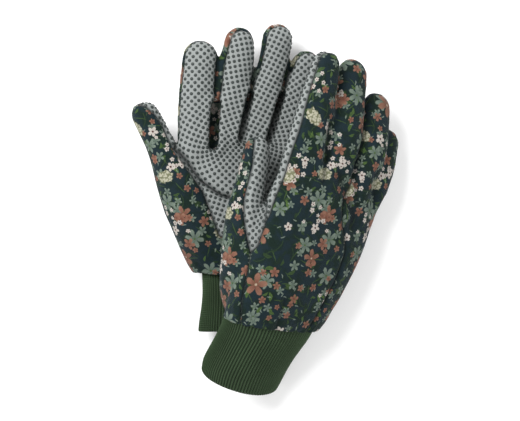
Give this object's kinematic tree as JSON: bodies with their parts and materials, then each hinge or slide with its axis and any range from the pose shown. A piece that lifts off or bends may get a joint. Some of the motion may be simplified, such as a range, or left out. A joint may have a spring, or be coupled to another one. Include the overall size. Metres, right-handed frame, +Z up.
{
  "type": "gardening gloves",
  "caption": "Pair of soft gardening gloves lying one over the other: printed jersey backs, palms with raised grip dots and ribbed knit cuffs.",
  "frame": {"origin": "bottom centre of the pair's bounding box, on the table", "axes": "+Y towards the fingertips of the left glove, +Z up from the table, +X towards the right glove's side"},
  "size_m": [0.1955, 0.2647, 0.0783],
  "materials": {
    "printed_jersey": "soft brushed jersey with a small flower print",
    "dotted_jersey": "plain jersey, matte",
    "grip_dots": "raised soft vinyl dots, satin",
    "rib_knit": "ribbed knit, matte",
    "seam_thread": "overlocked thread, matte"
  },
  "bodies": {
    "left_glove": {"left_palm_panel": "dotted_jersey", "left_back_panel": "printed_jersey", "left_side_panel": "printed_jersey", "left_thumb_front": "dotted_jersey", "left_thumb_back": "printed_jersey", "left_cuff": "rib_knit", "left_finger_seam": "seam_thread", "left_side_seam": "seam_thread", "left_thumb_seam": "seam_thread", "left_cuff_seam": "seam_thread"},
    "right_glove": {"right_palm_panel": "dotted_jersey", "right_back_panel": "printed_jersey", "right_side_panel": "printed_jersey", "right_thumb_front": "dotted_jersey", "right_thumb_back": "printed_jersey", "right_cuff": "rib_knit", "right_finger_seam": "seam_thread", "right_side_seam": "seam_thread", "right_thumb_seam": "seam_thread", "right_cuff_seam": "seam_thread"}
  },
  "joints": [
    {"name": "glove_lift", "type": "slide", "parent": "left_glove", "child": "right_glove", "axis": [0, 0, 1], "range_m": [0, 0.15]}
  ]
}
